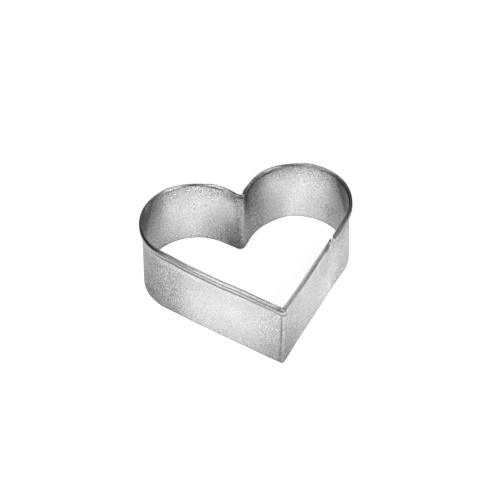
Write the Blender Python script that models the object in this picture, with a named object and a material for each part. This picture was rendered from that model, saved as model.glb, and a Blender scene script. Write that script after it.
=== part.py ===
"""Heart-shaped dough cutter: one strip of tinplate bent to a heart, its ends lapped and spot welded.

Metres, +Z up. The cutting edge stands on z = 0, the rolled rim is on top. Y runs through the cleft (+Y)
and the tip (-Y), and the origin is the centre of the footprint. The strip's path is walked clockwise as
seen from above, so the outside of the heart is always on the left of the path.
"""

import math

import bmesh
import bpy
from mathutils import Matrix, Vector

MM = 0.001
DEGREE = math.pi / 180

# The sheet and its hem. The hem is folded outward as a teardrop: a loop on top, a flap that slants back
# to the wall.
SHEET = 0.3 * MM
HEIGHT = 25.0 * MM
HEM_PROUD = 0.9 * MM
HEM_DEPTH = 2.6 * MM
HEM_EDGE_GAP = 0.2 * MM

# The heart's outline, taken along the middle of the sheet from the cleft round one lobe to the tip.
CLEFT_THROAT_RADIUS = 0.5 * MM
CLEFT_HALF_ANGLE = 53.5 * DEGREE
CLEFT_FLANK = 1.8 * MM
SHOULDER_RADIUS = 17.2 * MM
SHOULDER_SWEEP = 82.0 * DEGREE
LOBE_RADIUS = 15.3 * MM
TIP_HALF_TURN = 47.3 * DEGREE
TIP_INSIDE_RADIUS = 0.25 * MM

# The lap seam on the right side. The end that comes round the right lobe lies outside. The end that comes
# up from the tip steps inward behind it, as a tab that is lower than the hem.
SEAM_BELOW_LOBE = 8.7 * MM
LAP_LENGTH = 5.0 * MM
LAP_GAP = 0.1 * MM
JOGGLE_LENGTH = 2.0 * MM
TAB_SHOULDER = 1.0 * MM
TAB_BELOW_RIM = 2.1 * MM
HEM_SETBACK = 3.5 * MM

# The spot welds in the lap.
WELD_NAMES = ("spot_weld_lower", "spot_weld_middle", "spot_weld_upper")
WELD_DIAMETER = 2.4 * MM
WELD_CLEARANCE = 0.3 * MM
WELD_END_MARGIN = 4.5 * MM
WELD_DISH = 0.1 * MM
WELD_DISH_DIAMETER = 1.2 * MM

# How finely curves are drawn.
ARC_STEP = 5.0 * DEGREE
BEND_STEP = 12.0 * DEGREE
QUARTER_STEPS = 4
JOGGLE_STEPS = 3
WELD_SIDES = 32
SMOOTH_BELOW = 30.0 * DEGREE
CUTTER_REACH = 2.0 * MM
MERGE_DISTANCE = 0.0001 * MM

# Sizes that follow from the ones above.
HALF_SHEET = SHEET / 2
LOOP_RADIUS = HEM_PROUD / 2
LOOP_CENTRE_Z = HEIGHT - LOOP_RADIUS - HALF_SHEET
CLEFT_RADIUS = CLEFT_THROAT_RADIUS + HEM_PROUD + HALF_SHEET
TIP_RADIUS = TIP_INSIDE_RADIUS + HALF_SHEET
LOBE_SWEEP = math.pi + CLEFT_HALF_ANGLE - SHOULDER_SWEEP - TIP_HALF_TURN
LAP_STEP = SHEET + LAP_GAP
TAB_TOP = HEIGHT - TAB_BELOW_RIM


def clear_scene():
    for item in list(bpy.data.objects):
        bpy.data.objects.remove(item, do_unlink=True)


def tinplate(name, colour, roughness):
    """A plain bright metal, one for each piece."""
    material = bpy.data.materials.new(name)
    material.use_nodes = True
    shader = material.node_tree.nodes["Principled BSDF"]
    shader.inputs["Base Color"].default_value = (*colour, 1.0)
    shader.inputs["Metallic"].default_value = 1.0
    shader.inputs["Roughness"].default_value = roughness
    material.diffuse_color = (*colour, 1.0)
    return material


def add_object(name, mesh_builder, material):
    """Make one named object from a bmesh and shade its round faces smooth."""
    mesh = bpy.data.meshes.new(name)
    bmesh.ops.recalc_face_normals(mesh_builder, faces=mesh_builder.faces)
    mesh_builder.to_mesh(mesh)
    mesh_builder.free()
    mesh.materials.append(material)
    mesh.shade_smooth()
    mesh.set_sharp_from_angle(angle=SMOOTH_BELOW)
    item = bpy.data.objects.new(name, mesh)
    bpy.context.scene.collection.objects.link(item)
    return item


def side_length():
    """Length of a straight side, which brings the outline back to the middle at the tip."""
    after_shoulder = CLEFT_HALF_ANGLE - SHOULDER_SWEEP
    reach = CLEFT_RADIUS * math.sin(CLEFT_HALF_ANGLE)
    reach += CLEFT_FLANK * math.cos(CLEFT_HALF_ANGLE)
    reach += SHOULDER_RADIUS * (math.sin(CLEFT_HALF_ANGLE) - math.sin(after_shoulder))
    reach += LOBE_RADIUS * (math.sin(after_shoulder) + math.sin(TIP_HALF_TURN))
    reach -= TIP_RADIUS * math.sin(TIP_HALF_TURN)
    return reach / math.cos(TIP_HALF_TURN)


class Station:
    """A place on the strip's path: how far along it is, its point in plan and its heading."""

    def __init__(self, along, point, heading):
        self.along = along
        self.point = point
        self.heading = heading

    def forward(self):
        return Vector((math.cos(self.heading), math.sin(self.heading), 0.0))

    def outward(self):
        return Vector((-math.sin(self.heading), math.cos(self.heading), 0.0))


class Walk:
    """Walks the strip's path in straight runs and arcs, and keeps a station at each step."""

    def __init__(self, heading):
        self.stations = [Station(0.0, Vector((0.0, 0.0, 0.0)), heading)]

    def run(self, length, steps=1):
        for _ in range(steps):
            last = self.stations[-1]
            step = length / steps
            self.stations.append(Station(last.along + step, last.point + last.forward() * step, last.heading))

    def bend(self, radius, turn, step):
        """Turn by an angle, to the right where it is negative, round an arc of the sheet's middle."""
        count = max(2, math.ceil(abs(turn) / step))
        side = math.copysign(1.0, turn)
        start = self.stations[-1]
        centre = start.point + start.outward() * radius * side
        for number in range(1, count + 1):
            heading = start.heading + turn * number / count
            here = Station(start.along + radius * abs(turn) * number / count, centre, heading)
            here.point = centre - here.outward() * radius * side
            self.stations.append(here)


def walk_strip():
    """The strip's path from the tab's end down to the tip, up the left side, over both lobes to the seam."""
    side = side_length()
    walk = Walk(heading=TIP_HALF_TURN - math.pi)
    walk.run(LAP_LENGTH)
    walk.run(TAB_SHOULDER, JOGGLE_STEPS)
    walk.run(JOGGLE_LENGTH - TAB_SHOULDER, JOGGLE_STEPS)
    walk.run(HEM_SETBACK - JOGGLE_LENGTH)
    walk.run(side - SEAM_BELOW_LOBE - HEM_SETBACK)
    walk.bend(TIP_RADIUS, -2 * TIP_HALF_TURN, BEND_STEP)
    walk.run(side)
    walk.bend(LOBE_RADIUS, -LOBE_SWEEP, ARC_STEP)
    walk.bend(SHOULDER_RADIUS, -SHOULDER_SWEEP, ARC_STEP)
    walk.run(CLEFT_FLANK)
    walk.bend(CLEFT_RADIUS, 2 * CLEFT_HALF_ANGLE, BEND_STEP)
    walk.run(CLEFT_FLANK)
    walk.bend(SHOULDER_RADIUS, -SHOULDER_SWEEP, ARC_STEP)
    walk.bend(LOBE_RADIUS, -LOBE_SWEEP, ARC_STEP)
    walk.run(SEAM_BELOW_LOBE)
    across = [station.point.x for station in walk.stations]
    along = [station.point.y for station in walk.stations]
    middle = Vector(((min(across) + max(across)) / 2, (min(along) + max(along)) / 2, 0.0))
    for station in walk.stations:
        station.point = station.point - middle
    return walk.stations


def profile():
    """The folded sheet from the cutting edge up, along its middle.

    Each row is (zone, offset, height, normal). The zone is the lowest part of the blank that reaches it.
    """
    inward = Vector((-1.0, 0.0))
    rows = [("tab", 0.0, 0.0, inward), ("tab", 0.0, TAB_TOP, inward)]
    rows.append(("bare wall", 0.0, LOOP_CENTRE_Z, inward))
    edge = Vector((SHEET + HEM_EDGE_GAP - LOOP_RADIUS, HEIGHT - HEM_DEPTH - LOOP_CENTRE_Z))
    top = math.pi / 2
    last = math.atan2(edge.y, edge.x) + math.acos(LOOP_RADIUS / edge.length)
    rising = [math.pi + (top - math.pi) * number / QUARTER_STEPS for number in range(1, QUARTER_STEPS + 1)]
    falling = [top + (last - top) * number / QUARTER_STEPS for number in range(1, QUARTER_STEPS + 1)]
    for angle in rising + falling:
        normal = Vector((math.cos(angle), math.sin(angle)))
        place = Vector((LOOP_RADIUS, LOOP_CENTRE_Z)) + normal * LOOP_RADIUS
        rows.append(("hem", place.x, place.y, normal))
    rows.append(("hem", SHEET + HEM_EDGE_GAP, HEIGHT - HEM_DEPTH, normal))
    return rows


def joggle(along):
    """How far the strip steps inward at a place on its path, behind the lapped end."""
    fraction = min(max((along - LAP_LENGTH) / JOGGLE_LENGTH, 0.0), 1.0)
    return -LAP_STEP * (1.0 - fraction * fraction * (3.0 - 2.0 * fraction))


def top_row(along, rows):
    """The last row that the blank reaches at a place: the tab, the bare wall, then the whole hem."""
    if along < LAP_LENGTH + TAB_SHOULDER:
        top_zone = "tab"
    elif along < LAP_LENGTH + HEM_SETBACK:
        top_zone = "bare wall"
    else:
        top_zone = "hem"
    return max(number for number, row in enumerate(rows) if row[0] == top_zone)


def build_strip(stations):
    """Lay the folded profile along the path as a sheet with both faces, and close its cut edges."""
    rows = profile()
    builder = bmesh.new()
    faces = []
    for side in (1.0, -1.0):
        grid = []
        for station in stations:
            inward_step = joggle(station.along)
            column = []
            for _, offset, height, normal in rows:
                across = offset + inward_step + normal.x * HALF_SHEET * side
                place = station.point + station.outward() * across
                place.z = height + normal.y * HALF_SHEET * side
                column.append(builder.verts.new(place))
            grid.append(column)
        faces.append(grid)
    upper, lower = faces

    kept = set()
    for i in range(len(stations) - 1):
        middle = (stations[i].along + stations[i + 1].along) / 2
        for j in range(top_row(middle, rows)):
            kept.add((i, j))
    for i, j in kept:
        corners = ((i, j), (i + 1, j), (i + 1, j + 1), (i, j + 1))
        builder.faces.new([upper[a][b] for a, b in corners])
        builder.faces.new([lower[a][b] for a, b in reversed(corners)])
        beyond = ((i, j - 1), (i + 1, j), (i, j + 1), (i - 1, j))
        for number, neighbour in enumerate(beyond):
            if neighbour not in kept:
                a, b = corners[number]
                c, d = corners[(number + 1) % 4]
                builder.faces.new((upper[c][d], upper[a][b], lower[a][b], lower[c][d]))
    loose = [vertex for vertex in builder.verts if not vertex.link_faces]
    bmesh.ops.delete(builder, geom=loose, context="VERTS")
    return builder


def weld_frames(stations):
    """Where each spot weld lies: its axis runs straight through both sheets of the lap."""
    tab_end = stations[0]
    foot = tab_end.point + tab_end.forward() * LAP_LENGTH / 2 - tab_end.outward() * LAP_STEP / 2
    rise = (TAB_TOP - 2 * WELD_END_MARGIN) / (len(WELD_NAMES) - 1)
    turn = tab_end.outward().to_track_quat("Z", "Y").to_matrix().to_4x4()
    frames = []
    for number in range(len(WELD_NAMES)):
        height = Vector((0.0, 0.0, WELD_END_MARGIN + rise * number))
        frames.append(Matrix.Translation(foot + height) @ turn)
    return frames


def build_weld():
    """A spot weld: a round button as thick as the lap, dished on both faces by the electrodes."""
    radius = WELD_DIAMETER / 2
    dish = WELD_DISH_DIAMETER / 2
    rim = LAP_STEP / 2 + HALF_SHEET
    floor = rim - WELD_DISH
    outline = ((0.0, floor), (dish, floor), (radius, rim), (radius, -rim), (dish, -floor), (0.0, -floor))
    builder = bmesh.new()
    points = [builder.verts.new((across, 0.0, height)) for across, height in outline]
    edges = [builder.edges.new(pair) for pair in zip(points, points[1:])]
    bmesh.ops.spin(builder, geom=points + edges, cent=(0, 0, 0), axis=(0, 0, 1),
                   angle=2 * math.pi, steps=WELD_SIDES, use_merge=True)
    bmesh.ops.remove_doubles(builder, verts=builder.verts, dist=MERGE_DISTANCE)
    return builder


def add_weld_cutter(frames):
    """The holes that the welds fill, as round pins through the lap."""
    builder = bmesh.new()
    for frame in frames:
        bmesh.ops.create_cone(builder, cap_ends=True, segments=WELD_SIDES,
                              radius1=WELD_DIAMETER / 2 + WELD_CLEARANCE,
                              radius2=WELD_DIAMETER / 2 + WELD_CLEARANCE,
                              depth=2 * CUTTER_REACH, matrix=frame)
    mesh = bpy.data.meshes.new("weld_holes")
    builder.to_mesh(mesh)
    builder.free()
    cutter = bpy.data.objects.new("weld_holes", mesh)
    bpy.context.scene.collection.objects.link(cutter)
    cutter.hide_render = True
    cutter.display_type = "WIRE"
    return cutter


def main():
    clear_scene()
    stations = walk_strip()
    frames = weld_frames(stations)

    strip_finish = tinplate("strip_tinplate", colour=(0.70, 0.70, 0.70), roughness=0.34)
    strip = add_object("heart_strip", build_strip(stations), strip_finish)
    holes = strip.modifiers.new("weld_holes", "BOOLEAN")
    holes.operation = "DIFFERENCE"
    holes.object = add_weld_cutter(frames)

    for name, frame in zip(WELD_NAMES, frames):
        weld_finish = tinplate(name + "_metal", colour=(0.52, 0.52, 0.52), roughness=0.45)
        weld = add_object(name, build_weld(), weld_finish)
        weld.matrix_world = frame


main()
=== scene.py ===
import math

import bpy
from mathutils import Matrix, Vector, noise


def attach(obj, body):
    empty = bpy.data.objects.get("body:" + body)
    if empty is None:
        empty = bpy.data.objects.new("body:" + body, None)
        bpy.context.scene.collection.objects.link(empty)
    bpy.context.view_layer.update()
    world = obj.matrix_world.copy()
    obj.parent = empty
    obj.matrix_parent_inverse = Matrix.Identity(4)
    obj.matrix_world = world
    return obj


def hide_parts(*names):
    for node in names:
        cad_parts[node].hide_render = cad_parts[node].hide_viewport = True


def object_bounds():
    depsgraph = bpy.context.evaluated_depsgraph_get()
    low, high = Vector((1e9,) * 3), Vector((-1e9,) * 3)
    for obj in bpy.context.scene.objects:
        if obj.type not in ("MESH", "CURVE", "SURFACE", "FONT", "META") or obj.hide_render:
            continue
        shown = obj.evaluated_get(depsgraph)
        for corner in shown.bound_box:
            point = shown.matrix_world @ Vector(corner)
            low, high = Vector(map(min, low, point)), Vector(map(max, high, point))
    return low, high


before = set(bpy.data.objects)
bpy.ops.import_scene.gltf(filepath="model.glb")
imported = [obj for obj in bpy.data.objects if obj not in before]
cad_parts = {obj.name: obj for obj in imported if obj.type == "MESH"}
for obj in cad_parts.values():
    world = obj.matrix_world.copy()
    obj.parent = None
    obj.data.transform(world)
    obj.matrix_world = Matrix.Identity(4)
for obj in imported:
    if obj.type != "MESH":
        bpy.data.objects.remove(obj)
cad_low, cad_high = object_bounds()

MM = 0.001
DEGREE = math.pi / 180

# The sheet's faces: the inner one looks into the heart and rolls out over the hem, the outer one is the
# wall's outside and the hem's hidden side. Zero is the middle between them, or both of them in a table.
INNER = 1
OUTER = -1
MIDDLE = 0
BOTH = 0

# The sheet and its rolled rim.
SHEET = 0.3 * MM
HEIGHT = cad_high.z
HEM_PROUD = 0.9 * MM
HEM_DEPTH = 3.2 * MM
HEM_EDGE_GAP = 0.12 * MM

# The heart's outline along the middle of the sheet.
CLEFT_THROAT_RADIUS = 0.5 * MM
CLEFT_HALF_ANGLE = 53.5 * DEGREE
CLEFT_FLANK = 1.8 * MM
SHOULDER_RADIUS = 17.2 * MM
SHOULDER_SWEEP = 82.0 * DEGREE
LOBE_RADIUS = 15.3 * MM
TIP_HALF_TURN = 47.3 * DEGREE
TIP_INSIDE_RADIUS = 0.45 * MM

# How far the hand-bent strip stands outside its drawn outline, in millimetres. Each row is a mark on the
# path, the distance past it, and how far the rim and the cutting edge lean out. The strip turns smoothly
# between the rows.
LEANS = (
    ("tab_end", 0, 0, 0.25),
    ("tip", -12, -0.22, 0.12),
    ("tip", 0, -0.47, 0.2),
    ("tip", 12, -0.3, 0.4),
    ("tip", 24, 0.12, 0.5),
    ("tip", 32, 0.1, 0.6),
    ("tip", 41, -0.35, 0.45),
    ("tip", 49, -0.03, 0.35),
    ("tip", 58, -0.03, 0.05),
    ("cleft", -29, -0.03, 0),
    ("cleft", -14, -0.45, 0.05),
    ("cleft", -5, -0.1, -0.2),
    ("cleft", 0, 0, 0.25),
    ("cleft", 4.5, -0.05, -0.22),
    ("cleft", 14, -0.1, 0.08),
    ("cleft", 23, -0.4, 0.8),
    ("cleft", 31, -0.5, 0.5),
    ("cleft", 42, -0.25, 0.4),
    ("cleft", 53, -0.1, 0.55),
    ("strip_end", 0, 0, 0.25),
)

# How full the rolled rim is, because it was pressed flatter by hand in places. Each row is a mark on the
# path, the distance past it in millimetres, and the share of the roll's drawn reach.
FULLNESS = (
    ("tab_end", 0, 1),
    ("tip", 0, 1),
    ("tip", 5, 1.15),
    ("tip", 34, 1.15),
    ("cleft", -48, 1),
    ("cleft", -38, 1.05),
    ("cleft", -28, 0.95),
    ("cleft", -24.5, 1),
    ("cleft", -19, 0.7),
    ("cleft", -13.5, 0.6),
    ("cleft", -10, 1),
    ("cleft", -6.5, 0.8),
    ("cleft", -2.5, 0.6),
    ("cleft", 0, 1.15),
    ("cleft", 2.2, 1.25),
    ("cleft", 6, 0.65),
    ("cleft", 12, 0.9),
    ("cleft", 19, 0.7),
    ("cleft", 24, 0.7),
    ("cleft", 28, 1.2),
    ("cleft", 41, 1.2),
    ("cleft", 50, 1.05),
    ("strip_end", 0, 1),
)

# The rolled rim's surface waves in and out a little.
HEM_UNEVENNESS = 0.05 * MM
HEM_WAVE_ALONG = 4.0 * MM
HEM_WAVE_UP = 3.0 * MM

# The flap's path in section is a curve from the roll to the flap's edge. Its pulls are shares of the hem's
# depth.
FLAP_PULL_DOWN = 0.45
FLAP_EDGE_PULL_OUT = 0.16
FLAP_EDGE_PULL_UP = 0.22

# The cleft's crease leans, and the rim is pinched where it turns there, with a slot along the middle of
# the roll.
CLEFT_REACH = 4.0 * MM
CLEFT_RIM_SHIFT = Vector((0.35, -0.2, 0.0)) * MM
CLEFT_EDGE_SHIFT = Vector((0.3, -0.1, 0.0)) * MM
PINCH_REACH = 1.7 * MM
PINCH_FLATTENS = 0.2
PINCH_DIP = 0.05 * MM
SLOT_REACH = 0.9 * MM
SLOT_DEPTH = 0.4 * MM
SLOT_MIDDLE = 0.5
SLOT_SPREAD = 0.25

# The rim's corner at the tip is rounder and fuller than the wall's.
TIP_REACH = 1.5 * MM
TIP_RIM_SHIFT = Vector((-0.2, 0.3, 0.0)) * MM
TIP_FILLS = 0.3

# Where the tinplate is painted darker or brighter than plain metal would look under the lamps: partly where
# it is tarnished and rubbed, and partly painted shade and painted highlights, such as the shadow under the
# hem, the shade inside the lobes and toward the floor, and the shine and dark reflections along the roll and
# at the bends. Each row is a mark on the path, the distance past it and the reach along, the distance from
# the rim's crest and the reach across, all in millimetres, then the strength and the face. A distance from
# the crest is below zero toward the cutting edge and above zero toward the hem's edge. A strength is below
# zero where the sheet is painted brighter.
ANYWHERE = 1000
TARNISH_AND_PAINTED_LIGHT = (
    # The outer face, and the notch's edges.
    ("tab_end", 5.6, 0.5, -2, 0.8, 0.4, OUTER),
    ("tab_end", 6.5, 0.5, -0.6, 1, 0.7, BOTH),
    ("tab_end", 6.6, 0.8, 0, 0.9, 0.88, BOTH),
    ("tab_end", 6.7, 0.6, -22.3, 0.9, -0.35, OUTER),
    ("tab_end", 6.8, 0.35, -3.4, 0.6, -0.6, OUTER),
    ("tab_end", 9, 4, -22, 5, -0.15, OUTER),
    ("tab_end", 9.5, 3, -7, 2.5, 0.05, OUTER),
    ("tab_end", 10, 5, -8, 6, 0.12, OUTER),
    ("tip", -9.5, 4.5, -17, 6, 0.08, OUTER),
    ("tip", -0.5, 0.35, -12, ANYWHERE, -0.2, OUTER),
    ("tip", 0, ANYWHERE, -26, 6, 0.12, OUTER),
    ("tip", 0, 6, -24, 12, 0.38, OUTER),
    ("tip", 0.5, 0.33, -19, 5, 0.35, OUTER),
    ("tip", 0.5, 0.33, -8, 6, 0.62, OUTER),
    ("tip", 2.5, 3, -24.7, 0.6, 0.15, OUTER),
    ("tip", 2.9, 1.5, -6.5, 2.5, 0.12, OUTER),
    ("tip", 5, 13, -26, 7, 0.15, OUTER),
    ("tip", 12, 12, -7, 3, 0.06, OUTER),
    ("tip", 18, 16, -4.4, 0.6, -0.12, OUTER),
    ("tip", 31, 4, -6.5, 2.5, 0.08, OUTER),
    ("tip", 35, 8, -26, 2.5, 0.15, OUTER),
    ("tip", 38, 6, -4.6, 0.9, -0.3, OUTER),
    ("tip", 40.5, 3.5, -14, ANYWHERE, 0.28, OUTER),
    ("tip", 48, 7, -26, 11, 0.3, OUTER),
    ("cleft", -44.4, 3, -24.5, 1.5, 0.25, OUTER),
    ("strip_end", -10, 4.5, -2, 2.5, 0.65, OUTER),
    ("strip_end", -9, 5, -12, ANYWHERE, 0.15, OUTER),
    ("strip_end", -6, 4.5, -6, 3, 0.17, OUTER),
    ("strip_end", -3, 3, -6.6, 0.8, 0.14, OUTER),
    ("strip_end", -2, 9, -16, ANYWHERE, -0.04, OUTER),
    ("strip_end", -2, 1.5, -4.6, 1, 0.2, OUTER),
    # The inner face below the roll.
    ("cleft", -40, 4, -3, 6, 0.6, INNER),
    ("cleft", -36, 4.5, -8, 14, 0.12, INNER),
    ("cleft", -35.5, 3, -1.8, 3, 0.42, INNER),
    ("cleft", -31, 4, -12, 8, 0.1, INNER),
    ("cleft", -27, 1.5, -25, 1, 0.2, INNER),
    ("cleft", -26, 6, -2.6, 3, 0.33, INNER),
    ("cleft", -23, 2.5, -1.15, 0.35, 0.42, INNER),
    ("cleft", -18, 12, -26, 4, 0.2, INNER),
    ("cleft", -18, 3, -4, 2, -0.12, INNER),
    ("cleft", -13, 4, -3, 2, 0.12, INNER),
    ("cleft", -11.5, 4, -15, 5, -0.35, INNER),
    ("cleft", -10.7, 3, -13.8, 5, -0.08, INNER),
    ("cleft", -9, 3.5, -2.4, 1.4, 0.22, INNER),
    ("cleft", -8.5, 2.5, -22, 2.5, 0.14, INNER),
    ("cleft", -6.5, 2.5, -8.5, 3, -0.15, INNER),
    ("cleft", -4, 1.3, -8, 3, -0.28, INNER),
    ("cleft", -3.3, 0.8, -1.5, 0.6, 0.5, INNER),
    ("cleft", -3.2, 1.8, -19.5, 4.5, 0.25, INNER),
    ("cleft", -2.8, 2, -3.1, 0.8, 0.3, INNER),
    ("cleft", -2.2, 3.5, -26, 4.5, 0.5, INNER),
    ("cleft", -2, 2.5, -22.5, 3, 0.25, INNER),
    ("cleft", -1, 0.7, -12, 9, 0.32, INNER),
    ("cleft", -0.4, 0.3, -13, ANYWHERE, 0.32, INNER),
    ("cleft", 0.7, 0.7, -2.2, 1.2, 0.4, INNER),
    ("cleft", 0.95, 0.35, -17, 7, -0.4, INNER),
    ("cleft", 1, 1.2, -24.5, 1.2, 0.4, INNER),
    ("cleft", 1.8, 0.5, -4, 8, 0.35, INNER),
    ("cleft", 2.2, 0.8, -3, 2.5, 0.6, INNER),
    ("cleft", 3, 1.6, -4, 5, 0.45, INNER),
    ("cleft", 5, 3.5, -1.2, 0.5, 0.9, INNER),
    ("cleft", 5.5, 3, -4, 18, 0.33, INNER),
    ("cleft", 7.5, 3.5, -24, 6, 0.25, INNER),
    ("cleft", 11, 2.5, -24, 3, 0.25, INNER),
    ("cleft", 11, 2, -14, 3, 0.12, INNER),
    ("cleft", 12.5, 2.5, -7, 3.5, -0.15, INNER),
    ("cleft", 14, 3, -1.3, 0.42, 0.9, INNER),
    ("cleft", 16, 3, -3, 1.8, 0.2, INNER),
    ("cleft", 16.7, 1.5, -24.4, 0.7, 0.2, INNER),
    ("cleft", 17.5, 4.5, -16, 6, -0.2, INNER),
    ("cleft", 24, 12, -1, 3, 0.35, INNER),
    ("cleft", 29, 5, -3.5, 2.5, 0.1, INNER),
    ("strip_end", -27.5, 3, -21, 5, 0.2, INNER),
    ("cleft", 43, 4, -5, 10, 0.18, INNER),
    ("cleft", 47, 2.5, -4, 3, 0.2, INNER),
    # The roll and its hem.
    ("tab_end", 9.6, 1.1, 1, 1.3, 0.7, INNER),
    ("tip", -20, 14, -0.1, 0.2, -0.5, INNER),
    ("tip", -20, 14, 0.65, 0.45, 0.75, INNER),
    ("tip", -14, 5, 0.8, 0.35, 0.45, INNER),
    ("tip", -1.2, 0.9, 0.4, 0.6, -0.5, INNER),
    ("tip", 0.5, 1.8, 2.7, 0.5, 0.5, INNER),
    ("tip", 0.6, 0.7, 0.45, 0.4, 0.6, INNER),
    ("tip", 0.8, 0.5, 0.2, 0.3, 0.35, INNER),
    ("tip", 2.3, 1.5, 0.75, 0.3, 0.4, INNER),
    ("tip", 6, 6, 1.4, 0.4, 0.15, INNER),
    ("tip", 7, 3, 0.9, 0.6, 0.25, INNER),
    ("tip", 14, 12, -0.12, 0.17, 0.65, INNER),
    ("tip", 14, 12, 0.28, 0.12, -0.35, INNER),
    ("tip", 14, 12, 0.64, 0.22, 0.65, INNER),
    ("tip", 18, 18, 0.85, 0.25, 0.35, INNER),
    ("tip", 18, 20, 1.4, 0.4, 0.13, INNER),
    ("tip", 18, 20, 2.2, 0.4, 0.8, INNER),
    ("tip", 22, 5, 1.35, 0.45, -0.15, INNER),
    ("tip", 30, 6, 0.42, 0.12, -0.4, INNER),
    ("tip", 30, 6, 0.8, 0.25, 0.5, INNER),
    ("tip", 30, 6, 1.9, 0.3, 0.4, INNER),
    ("tip", 34, 4, 0.45, 0.3, 0.2, INNER),
    ("tip", 35, 4, 0.05, 0.25, 0.45, INNER),
    ("tip", 36.7, 2, 0.26, 0.3, -0.25, INNER),
    ("tip", 38, 5, 0.25, 0.25, -0.15, INNER),
    ("tip", 38, 5, 0.85, 0.3, 0.25, INNER),
    ("tip", 39, 5, 2.15, 0.3, 0.7, INNER),
    ("tip", 42, 5, 1.8, 1, 0.25, INNER),
    ("tip", 43, 4, -0.15, 0.3, 0.5, INNER),
    ("tip", 49, 7, 0.38, 0.42, 0.96, INNER),
    ("tip", 50, 6, 1.2, 0.8, 0.2, INNER),
    ("cleft", -42, 5, 0.4, 0.4, 0.8, INNER),
    ("cleft", -41, 5, -0.35, 0.25, -0.35, INNER),
    ("cleft", -33, 3, -0.5, 0.5, 0.35, INNER),
    ("cleft", -23, 2.5, -0.25, 0.2, -0.3, INNER),
    ("cleft", -15.5, 3.5, -0.32, 0.33, 0.93, INNER),
    ("cleft", -12, 2, -0.6, 0.3, 0.35, INNER),
    ("cleft", -9, 4, 0.3, 0.4, 0.5, INNER),
    ("cleft", -8.7, 2.5, -0.95, 0.33, 0.75, INNER),
    ("cleft", -8.7, 2.5, -0.38, 0.15, -0.35, INNER),
    ("cleft", -3.2, 2.4, -0.05, 0.25, 0.9, INNER),
    ("cleft", -0.6, 0.9, -0.95, 0.3, 0.85, INNER),
    ("cleft", -0.2, 1.2, -0.4, 0.2, -0.4, INNER),
    ("cleft", 4.5, 3.5, 0, 3.5, 0.4, INNER),
    ("cleft", 10.8, 2.2, -0.2, 0.4, -0.8, INNER),
    ("cleft", 14, 3, -0.35, 0.25, -0.45, INNER),
    ("cleft", 22, 4, -0.4, 0.35, 0.75, INNER),
    ("cleft", 31, 3, -0.4, 0.3, 0.3, INNER),
    ("cleft", 32, 5, -0.5, 0.6, 0.28, INNER),
    ("cleft", 42, 4, -0.9, 0.4, 0.35, INNER),
    ("cleft", 47, 7, -0.3, 0.45, 0.95, INNER),
    ("strip_end", -17.3, 2, 0.44, 0.3, 0.2, INNER),
    ("cleft", 54, 4, 0.4, 0.4, 0.65, INNER),
    ("strip_end", -8.5, 2.5, 0.6, 0.35, 0.6, INNER),
    ("strip_end", -3, 5, -0.1, 0.3, -0.25, INNER),
    ("strip_end", -3, 4, 0.75, 0.35, 0.4, INNER),
    ("strip_end", 0, 9, 0.8, 1, 0.8, INNER),
    ("strip_end", 0, 9, 1.5, 0.6, 0.55, INNER),
)
# The cut edges, at the floor and at the flap's edge, are darkened: painted shade along the foot of the wall
# and in the gap under the flap.
CUT_EDGE_PAINTED_SHADE = 0.6

# Shades on the inner face that start sharply at a line and fade away to the left of the way along it. Each
# row is a mark on the path, the line's start and end as distances past the mark and from the crest, the
# reach, all in millimetres, and the strength.
SHARP_SHADES = (
    ("cleft", (-36, -11.5), (-30.8, -1.5), 5, 0.36),
    ("strip_end", (-26.2, -2.1), (-22, -10), 4.5, 0.44),
)

# How softly a sharp shade begins at its line and past the line's ends, in millimetres.
SHARP_SHADE_EDGE = 0.3
SHARP_SHADE_END = 1.2

# Where the grain is rubbed fainter, or is stronger where the strength is below zero. The rows are like
# TARNISH_AND_PAINTED_LIGHT's.
RUBBED = (
    ("tab_end", 8, 4, -12, ANYWHERE, -0.6, OUTER),
    ("tip", 12, 8, -15, ANYWHERE, 0.3, OUTER),
    ("tip", 13, 14, 0.8, 1.4, 0.45, INNER),
    ("tip", 26, 6, -15, ANYWHERE, 0.25, OUTER),
    ("tip", 47, 6, -12, ANYWHERE, -0.4, OUTER),
    ("cleft", -10, 5, -12, ANYWHERE, -0.9, INNER),
    ("cleft", 7, 5, -14, ANYWHERE, -0.7, INNER),
    ("cleft", 33, 6, -12, ANYWHERE, -0.5, INNER),
    ("strip_end", -5, 6, -12, ANYWHERE, -0.8, OUTER),
)

# The lap seam on the right side: the strip's start is a tab that lies inside the strip's end.
SEAM_BELOW_LOBE = 8.7 * MM
LAP_LENGTH = 5.0 * MM
LAP_GAP = 0.02 * MM
JOGGLE_LENGTH = 4.5 * MM
TAB_SHOULDER = 1.0 * MM
TAB_BELOW_RIM = 2.1 * MM
HEM_SETBACK = 3.5 * MM
FEATHERED_EDGE = 0.02 * MM
SEAM_STEP = 0.04 * MM

# The hem stops short of the strip's end, and its flap tapers off toward both of its own ends.
HEM_TRIM = 0.3 * MM
FLAP_TAPER_LENGTH = 3.2 * MM
FLAP_TAPER = 0.55

# The lower corner at the strip's end stands proud of the wall.
PROUD_CORNER_HEIGHT = 2.2 * MM
PROUD_CORNER_LIFT = 0.12 * MM
PROUD_CORNER_REACH = 0.8 * MM

# The spot welds in the lap. Each row of a button's section is a share of its radius, and how far it lies
# below the button's highest ring.
WELD_NAMES = ("spot_weld_lower", "spot_weld_middle", "spot_weld_upper")
WELD_RADIUS = 1.2 * MM
WELD_PROUD = 0.015 * MM
WELD_SECTION = (
    (0.0, 0.03 * MM),
    (0.275, 0.03 * MM),
    (0.5, 0.009 * MM),
    (0.625, 0.0 * MM),
    (0.85, 0.0 * MM),
    (0.96, 0.006 * MM),
    (1.0, 0.0225 * MM),
)
WELD_MIDDLE_RADIUS = 0.01 * MM
WELD_END_MARGIN = 4.5 * MM
WELD_SIDES = 48
WELD_SHARP_ABOVE = 40 * DEGREE

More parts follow.
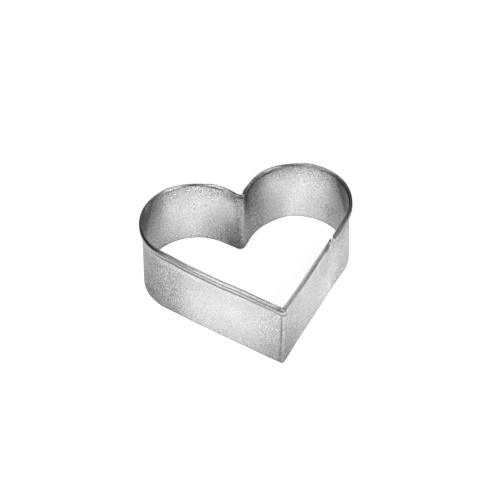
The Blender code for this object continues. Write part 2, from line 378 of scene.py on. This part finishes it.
# How finely the sheet is drawn. The wall has finer rows just below the tab's top.
RUN_STEP = 0.6 * MM
LAP_STEP_LENGTH = 0.25 * MM
ARC_STEP = 2.5 * DEGREE
BEND_STEP = 5.0 * DEGREE
WALL_ROWS = 36
FINE_WALL = 2.5 * MM
FINE_ROWS = 8
NECK_ROWS = 4
LOOP_STEPS = 16
BARE_LOOP_STEPS = 2
FLAP_STEPS = 18
SHEET_SHARP_ABOVE = 50 * DEGREE
UV_LENGTH = 100 * MM

# The tinplate's finish. The grain is strongest where tarnishing and painted shade darken the sheet by
# GRITTY_DARKENING or more.
METAL_TONE = 0.75
WELD_TONE = 0.86 * METAL_TONE
GRAIN_SIZE = 0.22 * MM
GRAIN_DETAIL = 1.0
GRAIN_ROUGHNESS = 0.6
CLEAN_GRAIN = 0.42
DARKENED_GRAIN = 0.95
GRITTY_DARKENING = 0.3
GRAIN_RELIEF = 0.35
GRAIN_HEIGHT = 0.05 * MM
ROUGHNESS = 0.62
HEM_ROUGHNESS = 0.35
CLOUD_SIZE = 6 * MM
CLOUD_DETAIL = 3.0
CLOUD_ROUGHNESS = 0.5
CLOUD_SHARES = (0.93, 1.07)
NOISE_RANGE = (0.3, 0.7)
ROLLED_GRAIN = 0.9
QUARTER_TURN = 0.25

# The floor and the studio's light.
FLOOR_SIZE = 3.0
FLOOR_TONE = 0.8
FLOOR_ROUGHNESS = 0.9
FLOOR_GLOW = 0.58
WORLD_TONE = 0.12

# Each softbox faces the heart: its name, azimuth, elevation, distance, side and power.
LAMPS = (
    ("left_softbox", -60 * DEGREE, 18 * DEGREE, 1.0, 0.45, 2.3),
    ("front_left_softbox", -30 * DEGREE, 18 * DEGREE, 1.0, 0.45, 3.4),
    ("front_right_softbox", 30 * DEGREE, 18 * DEGREE, 1.0, 0.45, 3.2),
    ("front_softbox", 0 * DEGREE, 45 * DEGREE, 1.0, 0.45, 3.0),
    ("right_softbox", 90 * DEGREE, 8 * DEGREE, 1.0, 0.25, 1.5),
    ("top_softbox", -80 * DEGREE, 78 * DEGREE, 1.0, 0.45, 2.1),
    ("back_softbox", 180 * DEGREE, 50 * DEGREE, 1.0, 0.45, 1.2),
)

# The camera, and how many pixels of the 500 pixel frame a metre takes at the camera's distance.
CAMERA_AZIMUTH = -15.96 * DEGREE
CAMERA_ELEVATION = 48.63 * DEGREE
CAMERA_ROLL = 0.48 * DEGREE
CAMERA_DISTANCE = 0.7
CAMERA_RIGHT = -2.17 * MM
CAMERA_UP = 13.54 * MM
CAMERA_SENSOR = 36.0
CAMERA_CLIP_END = 100.0
PIXELS_PER_METRE = 3219.0
FRAME_PIXELS = 500.0

# Sizes that follow from the ones above.
HALF_SHEET = SHEET / 2
LOOP_RADIUS = HEM_PROUD / 2
LOOP_CENTRE_Z = HEIGHT - LOOP_RADIUS - HALF_SHEET
CLEFT_RADIUS = CLEFT_THROAT_RADIUS + HEM_PROUD + HALF_SHEET
TIP_RADIUS = TIP_INSIDE_RADIUS + HALF_SHEET
LOBE_SWEEP = math.pi + CLEFT_HALF_ANGLE - SHOULDER_SWEEP - TIP_HALF_TURN
LAP_STEP = SHEET + LAP_GAP
TAB_TOP = HEIGHT - TAB_BELOW_RIM


def ease(fraction):
    """Turns a share from 0 to 1 into one that starts and stops smoothly."""
    fraction = min(max(fraction, 0.0), 1.0)
    return fraction * fraction * (3.0 - 2.0 * fraction)


def bell(distance, reach):
    """How strongly something is felt at a distance from its middle, from 1 down to 0."""
    return math.exp(-0.5 * (distance / reach) ** 2)


def between(rows, along):
    """The values of a table of places at one place on the path, turning smoothly from row to row."""
    for before, after in zip(rows, rows[1:]):
        if along <= after[0]:
            break
    share = ease((along - before[0]) / (after[0] - before[0]))
    return [low + (high - low) * share for low, high in zip(before[1:], after[1:])]


class Station:
    """A place on the strip's path: how far along it is, its point in plan and its heading."""

    def __init__(self, along, point, heading):
        self.along = along
        self.point = point
        self.heading = heading

    def forward(self):
        return Vector((math.cos(self.heading), math.sin(self.heading), 0.0))

    def outward(self):
        return Vector((-math.sin(self.heading), math.cos(self.heading), 0.0))


class Walk:
    """Walks the strip's path in straight runs and arcs, and keeps a station at each step."""

    def __init__(self, heading):
        self.stations = [Station(0.0, Vector((0.0, 0.0, 0.0)), heading)]
        self.marks = {"tab_end": 0.0}

    def mark(self, name, beyond=0.0):
        self.marks[name] = self.stations[-1].along + beyond

    def run(self, length, step):
        count = max(1, round(length / step))
        ahead = length / count
        for _ in range(count):
            last = self.stations[-1]
            point = last.point + last.forward() * ahead
            self.stations.append(Station(last.along + ahead, point, last.heading))

    def bend(self, radius, turn, step):
        count = max(2, math.ceil(abs(turn) / step))
        side = math.copysign(1.0, turn)
        start = self.stations[-1]
        centre = start.point + start.outward() * radius * side
        for number in range(1, count + 1):
            heading = start.heading + turn * number / count
            here = Station(start.along + radius * abs(turn) * number / count, centre, heading)
            here.point = centre - here.outward() * radius * side
            self.stations.append(here)

    def centre(self):
        """Moves the path so that its middle lies over the origin."""
        places = [station.point for station in self.stations]
        lowest = Vector([min(place[axis] for place in places) for axis in range(3)])
        highest = Vector([max(place[axis] for place in places) for axis in range(3)])
        for station in self.stations:
            station.point = station.point - (lowest + highest) / 2


def side_length():
    """The straight side's length, from the tip's bend to the lobe, that closes the heart's outline."""
    after_shoulder = CLEFT_HALF_ANGLE - SHOULDER_SWEEP
    reach = CLEFT_RADIUS * math.sin(CLEFT_HALF_ANGLE)
    reach += CLEFT_FLANK * math.cos(CLEFT_HALF_ANGLE)
    reach += SHOULDER_RADIUS * (math.sin(CLEFT_HALF_ANGLE) - math.sin(after_shoulder))
    reach += LOBE_RADIUS * (math.sin(after_shoulder) + math.sin(TIP_HALF_TURN))
    reach -= TIP_RADIUS * math.sin(TIP_HALF_TURN)
    return reach / math.cos(TIP_HALF_TURN)


def walk_strip():
    """The strip's path from the tab on the right side, round the tip, the lobes and the cleft to the lap."""
    side = side_length()
    walk = Walk(heading=TIP_HALF_TURN - math.pi)
    walk.run(LAP_LENGTH, LAP_STEP_LENGTH)
    walk.run(TAB_SHOULDER, LAP_STEP_LENGTH)
    walk.run(HEM_SETBACK - TAB_SHOULDER, LAP_STEP_LENGTH)
    walk.run(JOGGLE_LENGTH - HEM_SETBACK, LAP_STEP_LENGTH)
    walk.run(side - SEAM_BELOW_LOBE - JOGGLE_LENGTH, RUN_STEP)
    walk.mark("tip", TIP_RADIUS * TIP_HALF_TURN)
    walk.bend(TIP_RADIUS, -2 * TIP_HALF_TURN, BEND_STEP)
    walk.run(side, RUN_STEP)
    walk.bend(LOBE_RADIUS, -LOBE_SWEEP, ARC_STEP)
    walk.bend(SHOULDER_RADIUS, -SHOULDER_SWEEP, ARC_STEP)
    walk.run(CLEFT_FLANK, LAP_STEP_LENGTH)
    walk.mark("cleft", CLEFT_RADIUS * CLEFT_HALF_ANGLE)
    walk.bend(CLEFT_RADIUS, 2 * CLEFT_HALF_ANGLE, BEND_STEP)
    walk.run(CLEFT_FLANK, LAP_STEP_LENGTH)
    walk.bend(SHOULDER_RADIUS, -SHOULDER_SWEEP, ARC_STEP)
    walk.bend(LOBE_RADIUS, -LOBE_SWEEP, ARC_STEP)
    walk.run(SEAM_BELOW_LOBE, LAP_STEP_LENGTH)
    walk.mark("strip_end")
    walk.centre()
    return walk


class Row:
    """A line along the strip: its zone, offset from the wall, height and its inner face's normal."""

    def __init__(self, zone, offset, height, normal):
        self.zone = zone
        self.offset = offset
        self.height = height
        self.normal = normal


def wall_rows():
    """The wall in section, from the cutting edge up to the roll."""
    inward = Vector((-1.0, 0.0))
    fine_from = TAB_TOP - FINE_WALL
    rows = []
    for number in range(WALL_ROWS):
        rows.append(Row("tab", 0.0, fine_from * number / WALL_ROWS, inward))
    for number in range(FINE_ROWS + 1):
        rows.append(Row("tab", 0.0, fine_from + (TAB_TOP - fine_from) * number / FINE_ROWS, inward))
    for number in range(1, NECK_ROWS + 1):
        height = TAB_TOP + (LOOP_CENTRE_Z - TAB_TOP) * number / NECK_ROWS
        rows.append(Row("bare wall", 0.0, height, inward))
    return rows


def roll_rows():
    """The roll in section, from the wall over the crest."""
    rows = []
    for number in range(1, LOOP_STEPS + 1):
        angle = math.pi - math.pi * number / LOOP_STEPS
        normal = Vector((math.cos(angle), math.sin(angle)))
        place = Vector((LOOP_RADIUS, LOOP_CENTRE_Z)) + normal * LOOP_RADIUS
        rows.append(Row("bare wall" if number <= BARE_LOOP_STEPS else "hem", place.x, place.y, normal))
    return rows


def flap_rows():
    """The hem's flap in section, from the roll down and in to the flap's edge."""
    rows = []
    start = Vector((HEM_PROUD, LOOP_CENTRE_Z))
    end = Vector((SHEET + HEM_EDGE_GAP, HEIGHT - HEM_DEPTH))
    start_pull = start - Vector((0.0, FLAP_PULL_DOWN)) * HEM_DEPTH
    end_pull = end + Vector((FLAP_EDGE_PULL_OUT, FLAP_EDGE_PULL_UP)) * HEM_DEPTH
    for number in range(1, FLAP_STEPS + 1):
        t = number / FLAP_STEPS
        place = start * (1 - t) ** 3 + start_pull * 3 * t * (1 - t) ** 2
        place += end_pull * 3 * t * t * (1 - t) + end * t ** 3
        slope = (start_pull - start) * (1 - t) ** 2 + (end_pull - start_pull) * 2 * t * (1 - t)
        slope += (end - end_pull) * t * t
        rows.append(Row("hem", place.x, place.y, Vector((-slope.y, slope.x)).normalized()))
    return rows


class Strip:
    """The heart's strip of sheet: where each of its points lies, how worn it is there, and its painted shade
    and highlights.
    """

    def __init__(self):
        self.walk = walk_strip()
        self.rows = wall_rows() + roll_rows() + flap_rows()
        marks = self.walk.marks
        self.leans = [(marks[mark] + past * MM, rim * MM, edge * MM) for mark, past, rim, edge in LEANS]
        self.fullness = [(marks[mark] + past * MM, share) for mark, past, share in FULLNESS]
        self.cleft = marks["cleft"]
        self.tip = marks["tip"]
        self.end = marks["strip_end"]
        self.across = [0.0]
        for low, high in zip(self.rows, self.rows[1:]):
            step = math.hypot(high.offset - low.offset, high.height - low.height)
            self.across.append(self.across[-1] + step)
        self.crest = self.across[max(range(len(self.rows)), key=lambda number: self.rows[number].height)]

    def lean(self, along, height):
        """How far the wall stands outside its drawn outline."""
        rim, edge = between(self.leans, along)
        return edge + (rim - edge) * height / HEIGHT

    def joggle(self, along):
        """How far the strip steps inward behind its other end."""
        under = (LAP_STEP - SEAM_STEP) * (1.0 - ease(along / LAP_LENGTH))
        return -under - SEAM_STEP * (1.0 - ease((along - LAP_LENGTH) / JOGGLE_LENGTH))

    def worked(self, along, row):
        """The offset from the wall and the height of a row, after the rim was rolled and pressed by hand."""
        pinch = bell(along - self.cleft, PINCH_REACH)
        slot = bell(along - self.cleft, SLOT_REACH)
        corner = bell(along - self.tip, TIP_REACH)
        lift = row.offset / HEM_PROUD
        fullness = between(self.fullness, along)[0]
        offset = row.offset * fullness * (1.0 - PINCH_FLATTENS * pinch) * (1.0 + TIP_FILLS * corner)
        near_rim = min(max(row.height - TAB_TOP, 0.0) / TAB_BELOW_RIM, 1.0)
        height = row.height - PINCH_DIP * pinch * near_rim
        height -= SLOT_DEPTH * slot * bell(lift - SLOT_MIDDLE, SLOT_SPREAD) * max(row.normal.y, 0.0)
        if row.zone == "hem":
            wave = noise.noise(Vector((along / HEM_WAVE_ALONG, row.height / HEM_WAVE_UP, 0.0)))
            offset += HEM_UNEVENNESS * wave * min(lift, 1.0) - HEM_UNEVENNESS / 2
            to_flap_end = min(along - LAP_LENGTH - HEM_SETBACK, self.end - HEM_TRIM - along)
            taper = FLAP_TAPER * ease(1.0 - to_flap_end / FLAP_TAPER_LENGTH)
            height += max(LOOP_CENTRE_Z - row.height, 0.0) * taper
        return offset, height

    def half_thickness(self, along, row, height, side):
        """How far a face lies from the sheet's middle: less at the scarfed lap, more at the proud corner."""
        before_end = self.end - along
        if side == INNER and row.zone == "tab":
            return HALF_SHEET - (SHEET - FEATHERED_EDGE) * ease(1.0 - before_end / LAP_LENGTH)
        if side == OUTER:
            near = bell(height - PROUD_CORNER_HEIGHT, PROUD_CORNER_REACH)
            return HALF_SHEET + PROUD_CORNER_LIFT * near * bell(before_end, PROUD_CORNER_REACH)
        return HALF_SHEET

    def place(self, station, row, side):
        """A point of the sheet's inner face, outer face or middle."""
        along = station.along
        offset, height = self.worked(along, row)
        half = self.half_thickness(along, row, height, side)
        across = offset + self.lean(along, height) + self.joggle(along) + row.normal.x * half * side
        cleft_shift = CLEFT_EDGE_SHIFT + (CLEFT_RIM_SHIFT - CLEFT_EDGE_SHIFT) * (height / HEIGHT)
        near_rim = ease((height - TAB_TOP) / TAB_BELOW_RIM)
        point = station.point + station.outward() * across
        point += cleft_shift * bell(along - self.cleft, CLEFT_REACH)
        point += TIP_RIM_SHIFT * bell(along - self.tip, TIP_REACH) * near_rim
        point.z = height + row.normal.y * half * side
        return point

    def left_by(self, patches, along, number, side):
        """The share of the finish that a table of patches leaves at one place and row."""
        share = 1.0
        past_crest = (self.across[number] - self.crest) / MM
        for mark, past, reach, over, spread, strength, face in patches:
            if face in (side, BOTH):
                past_mark = (along - self.walk.marks[mark]) / MM
                near = bell(past_mark - past, reach) * bell(past_crest - over, spread)
                share *= 1.0 - strength * near
        return share

    def left_by_sharp_shades(self, along, number):
        """The share of the inner face's finish that the sharp shades leave at one place and row."""
        share = 1.0
        for mark, start, end, reach, strength in SHARP_SHADES:
            here = Vector((along - self.walk.marks[mark], self.across[number] - self.crest)) / MM
            line = Vector(end) - Vector(start)
            away = here - Vector(start)
            ahead = away.dot(line) / line.length
            beyond = max(-ahead, ahead - line.length, 0.0)
            aside = line.cross(away) / line.length
            near = bell(aside, reach if aside > 0 else SHARP_SHADE_EDGE) * bell(beyond, SHARP_SHADE_END)
            share *= 1.0 - strength * near
        return share

    def tarnish_and_painted_light(self, along, number, side):
        """How dark tarnishing and painted shade make the finish at one place and row: 1 is black, and below
        zero is brighter: rubbed places and painted highlights.
        """
        share_left = self.left_by(TARNISH_AND_PAINTED_LIGHT, along, number, side)
        if side == INNER:
            share_left *= self.left_by_sharp_shades(along, number)
        if number in (0, len(self.rows) - 1):
            share_left *= 1.0 - CUT_EDGE_PAINTED_SHADE
        return 1.0 - share_left

    def top_row(self, along):
        """The highest row that the notched blank has at a place on the path."""
        if along < LAP_LENGTH + TAB_SHOULDER or along > self.end - HEM_TRIM:
            top_zone = "tab"
        elif along < LAP_LENGTH + HEM_SETBACK:
            top_zone = "bare wall"
        else:
            top_zone = "hem"
        return max(number for number, row in enumerate(self.rows) if row.zone == top_zone)

    def cells(self):
        """The cells of the flat blank, each as its station's and its row's number."""
        kept = set()
        for i, (station, following) in enumerate(zip(self.walk.stations, self.walk.stations[1:])):
            for j in range(self.top_row((station.along + following.along) / 2)):
                kept.add((i, j))
        return kept

    def faces(self):
        """Both faces of every cell and the cut edges that close them, as numbers of corners."""
        columns = len(self.walk.stations)
        width = len(self.rows)
        kept = self.cells()
        faces = []

        def index(layer, i, j):
            return (layer * columns + i) * width + j

        for i, j in sorted(kept):
            corners = ((i, j), (i + 1, j), (i + 1, j + 1), (i, j + 1))
            faces.append([index(0, a, b) for a, b in corners])
            faces.append([index(1, a, b) for a, b in reversed(corners)])
            neighbours = ((i, j - 1), (i + 1, j), (i, j + 1), (i - 1, j))
            for number, neighbour in enumerate(neighbours):
                if neighbour not in kept:
                    a, b = corners[number]
                    c, d = corners[(number + 1) % len(corners)]
                    faces.append([index(0, c, d), index(0, a, b), index(1, a, b), index(1, c, d)])
        return faces

    def mesh(self):
        """The folded sheet with both faces and closed cut edges, its worn places, painted shade and
        highlights, and its flat layout.
        """
        stations = self.walk.stations
        places = [(side, station, number)
                  for side in (INNER, OUTER) for station in stations for number in range(len(self.rows))]
        faces = self.faces()
        used = sorted({corner for face in faces for corner in face})
        renumber = {old: new for new, old in enumerate(used)}
        places = [places[old] for old in used]
        points = [self.place(station, self.rows[number], side) for side, station, number in places]
        mesh = bpy.data.meshes.new("heart_strip_sheet")
        mesh.from_pydata(points, [], [[renumber[corner] for corner in face] for face in faces])
        mesh.update()
        wear_and_painted_light = {"tarnish_and_painted_light": [], "coarseness": [], "polish": []}
        for side, station, number in places:
            row = self.rows[number]
            wear_and_painted_light["tarnish_and_painted_light"].append(self.tarnish_and_painted_light(station.along, number, side))
            wear_and_painted_light["coarseness"].append(self.left_by(RUBBED, station.along, number, side) - 1.0)
            wear_and_painted_light["polish"].append(1.0 if row.zone == "hem" or row.height > LOOP_CENTRE_Z else 0.0)
        for name, values in wear_and_painted_light.items():
            mesh.attributes.new(name, "FLOAT", "POINT").data.foreach_set("value", values)
        flat = mesh.uv_layers.new(name="flat_sheet")
        for loop in mesh.loops:
            side, station, number = places[loop.vertex_index]
            flat.data[loop.index].uv = (station.along / UV_LENGTH, self.across[number] / UV_LENGTH)
        return mesh


def weld_mesh(name, centre, half, across, aside, upward):
    """A dished button through both layers of the lap."""
    section = [(share * WELD_RADIUS, half - below) for share, below in WELD_SECTION]
    section += [(radius, -depth) for radius, depth in reversed(section)]
    points = []
    for radius, depth in section:
        for number in range(WELD_SIDES):
            angle = 2 * math.pi * number / WELD_SIDES
            away = aside * math.cos(angle) + upward * math.sin(angle)
            points.append(centre + across * depth + away * max(radius, WELD_MIDDLE_RADIUS))
    faces = [tuple(range(WELD_SIDES)), tuple(reversed(range(len(points) - WELD_SIDES, len(points))))]
    for ring in range(len(section) - 1):
        for number in range(WELD_SIDES):
            after = (number + 1) % WELD_SIDES
            low = ring * WELD_SIDES
            high = low + WELD_SIDES
            faces.append((low + number, high + number, high + after, low + after))
    mesh = bpy.data.meshes.new(name)
    mesh.from_pydata(points, [], faces)
    mesh.update()
    flat = mesh.uv_layers.new(name="flat_sheet")
    for loop in mesh.loops:
        past = points[loop.vertex_index] - centre
        flat.data[loop.index].uv = (past.dot(aside) / UV_LENGTH, past.dot(upward) / UV_LENGTH)
    return mesh


class Nodes:
    """A material's or world's node tree, with short calls to add nodes and link them."""

    def __init__(self, owner):
        owner.use_nodes = True
        self.tree = owner.node_tree

    def get(self, name):
        return self.tree.nodes[name]

    def add(self, kind, settings=None, inputs=None):
        """Adds a node. An input is another node's output or a plain value."""
        node = self.tree.nodes.new(kind)
        for name, value in (settings or {}).items():
            setattr(node, name, value)
        for name, value in (inputs or {}).items():
            if isinstance(value, bpy.types.NodeSocket):
                self.tree.links.new(value, node.inputs[name])
            else:
                node.inputs[name].default_value = value
        return node

    def link(self, output, node, name):
        self.tree.links.new(output, node.inputs[name])

    def attribute(self, name):
        return self.add("ShaderNodeAttribute", {"attribute_name": name}).outputs["Fac"]

    def calculate(self, operation, *values, clamp=False):
        settings = {"operation": operation, "use_clamp": clamp}
        return self.add("ShaderNodeMath", settings, dict(enumerate(values))).outputs["Value"]

    def mapped(self, value, before, after):
        """A value that is taken from one range to another."""
        inputs = {"Value": value, "From Min": before[0], "From Max": before[1]}
        inputs.update({"To Min": after[0], "To Max": after[1]})
        return self.add("ShaderNodeMapRange", inputs=inputs).outputs["Result"]

    def noise_texture(self, where, size, detail, roughness):
        inputs = {"Vector": where, "Scale": 1 / size, "Detail": detail, "Roughness": roughness}
        return self.add("ShaderNodeTexNoise", inputs=inputs).outputs["Fac"]


def tinplate(name, tone):
    """Dull rolled tinplate: grain that is stronger where it is darker, a smoother rim and cloudy gloss."""
    material = bpy.data.materials.new(name)
    nodes = Nodes(material)
    shader = nodes.get("Principled BSDF")
    shader.inputs["Metallic"].default_value = 1.0
    shader.inputs["Anisotropic"].default_value = ROLLED_GRAIN
    shader.inputs["Anisotropic Rotation"].default_value = QUARTER_TURN
    where = nodes.add("ShaderNodeTexCoord").outputs["Object"]
    grain = nodes.noise_texture(where, GRAIN_SIZE, GRAIN_DETAIL, GRAIN_ROUGHNESS)

    # The darkening from tarnishing and painted shade; below zero it is brighter, with painted highlights.
    tarnish_and_painted_light = nodes.attribute("tarnish_and_painted_light")
    grit = nodes.mapped(tarnish_and_painted_light, (0.0, GRITTY_DARKENING), (CLEAN_GRAIN, DARKENED_GRAIN))
    rubbed_grit = nodes.calculate("MULTIPLY_ADD", grit, nodes.attribute("coarseness"), grit)
    speck = nodes.mapped(grain, NOISE_RANGE, (-tone, tone))
    grainy = nodes.calculate("MULTIPLY_ADD", speck, rubbed_grit, tone)
    shade = nodes.calculate("MULTIPLY", grainy, nodes.calculate("SUBTRACT", 1.0, tarnish_and_painted_light))
    colour = nodes.add("ShaderNodeCombineColor", inputs={"Red": shade, "Green": shade, "Blue": shade})
    nodes.link(colour.outputs["Color"], shader, "Base Color")

    cloud = nodes.noise_texture(where, CLOUD_SIZE, CLOUD_DETAIL, CLOUD_ROUGHNESS)
    smooth = nodes.mapped(nodes.attribute("polish"), (0.0, 1.0), (ROUGHNESS, HEM_ROUGHNESS))
    rough = nodes.calculate("MULTIPLY", nodes.mapped(cloud, NOISE_RANGE, CLOUD_SHARES), smooth)
    nodes.link(rough, shader, "Roughness")

    rolled = nodes.add("ShaderNodeTangent", {"direction_type": "UV_MAP", "uv_map": "flat_sheet"})
    nodes.link(rolled.outputs["Tangent"], shader, "Tangent")
    bumps = {"Strength": GRAIN_RELIEF, "Distance": GRAIN_HEIGHT, "Height": grain}
    relief = nodes.add("ShaderNodeBump", inputs=bumps)
    nodes.link(relief.outputs["Normal"], shader, "Normal")
    return material


def add_piece(name, mesh, material, node, sharp_above):
    mesh.shade_smooth()
    mesh.set_sharp_from_angle(angle=sharp_above)
    mesh.materials.append(material)
    piece = bpy.data.objects.new(name, mesh)
    bpy.context.scene.collection.objects.link(piece)
    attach(piece, "root")
    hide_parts(node)


def add_sheet(strip):
    material = tinplate("tinplate", METAL_TONE)
    add_piece("heart_strip_sheet", strip.mesh(), material, "heart_strip", SHEET_SHARP_ABOVE)


def add_welds(strip):
    """Buttons through the lap, evenly spaced up its height and square to it."""
    inner = min(strip.walk.stations, key=lambda station: abs(station.along - LAP_LENGTH / 2))
    outer = min(strip.walk.stations, key=lambda station: abs(station.along - strip.end + LAP_LENGTH / 2))
    inward = Vector((-1.0, 0.0))
    room = TAB_TOP - 2 * WELD_END_MARGIN
    for number, name in enumerate(WELD_NAMES):
        height = WELD_END_MARGIN + room * number / (len(WELD_NAMES) - 1)
        low = Row("tab", 0.0, height - WELD_RADIUS, inward)
        high = Row("tab", 0.0, height + WELD_RADIUS, inward)
        inside = (strip.place(inner, low, INNER) + strip.place(inner, high, INNER)) / 2
        outside = (strip.place(outer, low, OUTER) + strip.place(outer, high, OUTER)) / 2
        upward = (strip.place(inner, high, MIDDLE) - strip.place(inner, low, MIDDLE)).normalized()
        aside = inner.forward()
        across = upward.cross(aside)
        if across.dot(inner.outward()) < 0:
            across = -across
        centre = (inside + outside) / 2
        half = (outside - inside).dot(across) / 2 + WELD_PROUD
        mesh = weld_mesh(name + "_button", centre, half, across, aside, upward)
        material = tinplate(name + "_metal", WELD_TONE)
        add_piece(name + "_button", mesh, material, name, WELD_SHARP_ABOVE)


def floor_material():
    """A pale matt floor with a glow that only the camera and reflections see."""
    material = bpy.data.materials.new("floor")
    nodes = Nodes(material)
    shader = nodes.get("Principled BSDF")
    shader.inputs["Base Color"].default_value = (FLOOR_TONE, FLOOR_TONE, FLOOR_TONE, 1.0)
    shader.inputs["Roughness"].default_value = FLOOR_ROUGHNESS
    shader.inputs["Specular IOR Level"].default_value = 0.0
    shader.inputs["Emission Color"].default_value = (1.0, 1.0, 1.0, 1.0)
    path = nodes.add("ShaderNodeLightPath").outputs
    seen = nodes.calculate("ADD", path["Is Camera Ray"], path["Is Glossy Ray"])
    seen = nodes.calculate("ADD", seen, path["Is Transmission Ray"], clamp=True)
    nodes.link(nodes.calculate("MULTIPLY", seen, FLOOR_GLOW), shader, "Emission Strength")
    return material


def add_floor():
    half = FLOOR_SIZE / 2
    corners = [(-half, -half, 0), (half, -half, 0), (half, half, 0), (-half, half, 0)]
    mesh = bpy.data.meshes.new("floor")
    mesh.from_pydata(corners, [], [(0, 1, 2, 3)])
    mesh.materials.append(floor_material())
    floor = bpy.data.objects.new("floor", mesh)
    bpy.context.scene.collection.objects.link(floor)


def add_world():
    world = bpy.data.worlds.new("studio")
    bpy.context.scene.world = world
    background = Nodes(world).get("Background")
    background.inputs["Color"].default_value = (1.0, 1.0, 1.0, 1.0)
    background.inputs["Strength"].default_value = WORLD_TONE


def direction(azimuth, elevation):
    """The way from the heart toward a place that is seen at an azimuth from the front and an elevation."""
    level = math.cos(elevation)
    return Vector((math.sin(azimuth) * level, -math.cos(azimuth) * level, math.sin(elevation)))


def add_lamp(name, azimuth, elevation, distance, side, power):
    light = bpy.data.lights.new(name, "AREA")
    light.shape = "SQUARE"
    light.size = side
    light.energy = power
    lamp = bpy.data.objects.new(name, light)
    lamp.location = direction(azimuth, elevation) * distance
    lamp.rotation_euler = (-lamp.location).to_track_quat("-Z", "Y").to_euler()
    bpy.context.scene.collection.objects.link(lamp)


def add_camera():
    back = direction(CAMERA_AZIMUTH, CAMERA_ELEVATION)
    level = Vector((math.cos(CAMERA_AZIMUTH), math.sin(CAMERA_AZIMUTH), 0.0))
    upright = back.cross(level)
    right = level * math.cos(CAMERA_ROLL) + upright * math.sin(CAMERA_ROLL)
    up = upright * math.cos(CAMERA_ROLL) - level * math.sin(CAMERA_ROLL)
    place = right * CAMERA_RIGHT + up * CAMERA_UP + back * CAMERA_DISTANCE
    data = bpy.data.cameras.new("camera")
    data.sensor_width = CAMERA_SENSOR
    data.lens = PIXELS_PER_METRE * CAMERA_DISTANCE / FRAME_PIXELS * CAMERA_SENSOR
    data.clip_end = CAMERA_CLIP_END
    camera = bpy.data.objects.new("camera", data)
    matrix = camera.matrix_world.copy()
    for row in range(3):
        matrix[row][0] = right[row]
        matrix[row][1] = up[row]
        matrix[row][2] = back[row]
        matrix[row][3] = place[row]
    camera.matrix_world = matrix
    bpy.context.scene.collection.objects.link(camera)
    bpy.context.scene.camera = camera


strip = Strip()
add_sheet(strip)
add_welds(strip)
add_floor()
add_world()
for lamp in LAMPS:
    add_lamp(*lamp)
add_camera()
bpy.context.scene.view_settings.view_transform = "Standard"
